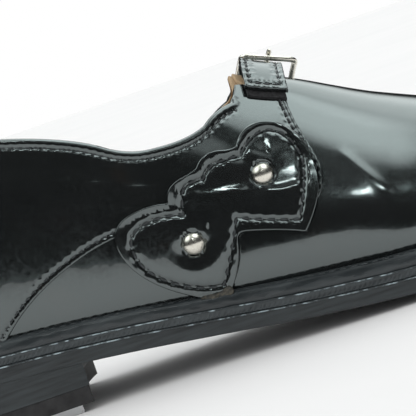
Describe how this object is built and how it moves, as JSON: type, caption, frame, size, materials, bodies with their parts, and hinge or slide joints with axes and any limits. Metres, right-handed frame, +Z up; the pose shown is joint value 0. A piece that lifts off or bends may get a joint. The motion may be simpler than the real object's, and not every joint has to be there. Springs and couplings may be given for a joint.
{
  "type": "tap shoe",
  "caption": "Black patent leather tap shoe with scalloped side patches, domed rivets, a buckled instep strap, a double sole, a low heel and metal taps",
  "frame": {"origin": "centre of the heel tap's flat floor face, on the floor", "axes": "+X towards the toe, +Z up, -Y on the inner side that carries the root of the strap"},
  "size_m": [0.254, 0.0922, 0.0906],
  "materials": {
    "patent_leather": "glossy patent coat",
    "lining_leather": "matt, soft, natural",
    "fibre_board": "matt pressed fibre",
    "sole_leather": "waxed black edge",
    "heel_rubber": "matt",
    "bright_metal": "polished",
    "tap_metal": "satin with fine scratches",
    "woven_textile": "matt weave",
    "plain_steel": "plain"
  },
  "bodies": {
    "shoe": {"back_strip": "patent_leather", "heel_block": "sole_leather", "heel_counter": "fibre_board", "heel_lift": "heel_rubber", "heel_tap": "tap_metal", "heel_tap_screw_1": "plain_steel", "heel_tap_screw_2": "plain_steel", "heel_tap_screw_3": "plain_steel", "insole": "fibre_board", "lining_front": "lining_leather", "lining_rear": "lining_leather", "midsole": "sole_leather", "outsole": "sole_leather", "quarter_inner": "patent_leather", "quarter_loop_patch": "woven_textile", "quarter_outer": "patent_leather", "rivet_cap_lower_inner": "bright_metal", "rivet_cap_lower_outer": "bright_metal", "rivet_cap_upper_inner": "bright_metal", "rivet_cap_upper_outer": "bright_metal", "rivet_washer_lower_inner": "plain_steel", "rivet_washer_lower_outer": "plain_steel", "rivet_washer_upper_inner": "plain_steel", "rivet_washer_upper_outer": "plain_steel", "shank": "plain_steel", "side_patch_inner": "patent_leather", "side_patch_outer": "patent_leather", "sock_liner": "lining_leather", "strap_elastic": "woven_textile", "toe_puff": "fibre_board", "toe_tap": "tap_metal", "toe_tap_screw_1": "plain_steel", "toe_tap_screw_2": "plain_steel", "toe_tap_screw_3": "plain_steel", "toe_tap_screw_4": "plain_steel", "tongue": "lining_leather", "vamp": "patent_leather", "welt": "sole_leather"},
    "strap": {"strap": "patent_leather", "strap_hook_patch": "woven_textile", "strap_chape": "patent_leather"},
    "buckle_frame": {"buckle_frame": "bright_metal"},
    "buckle_prong": {"buckle_prong": "bright_metal"}
  },
  "joints": [
    {"name": "strap_swing", "type": "hinge", "parent": "shoe", "child": "strap", "pos_m": [0.10595, -0.01259, 0.07165], "axis": [0.9161, -0.0423, -0.3987], "range_deg": [0, 75]},
    {"name": "buckle_tilt", "type": "hinge", "parent": "strap", "child": "buckle_frame", "pos_m": [0.10665, 0.02261, 0.07207], "axis": [-0.9232, -0.0412, 0.3822], "range_deg": [0, 40]},
    {"name": "prong_tilt", "type": "hinge", "parent": "buckle_frame", "child": "buckle_prong", "pos_m": [0.10665, 0.02261, 0.07207], "axis": [-0.9232, -0.0412, 0.3822], "range_deg": [0, 60]}
  ]
}
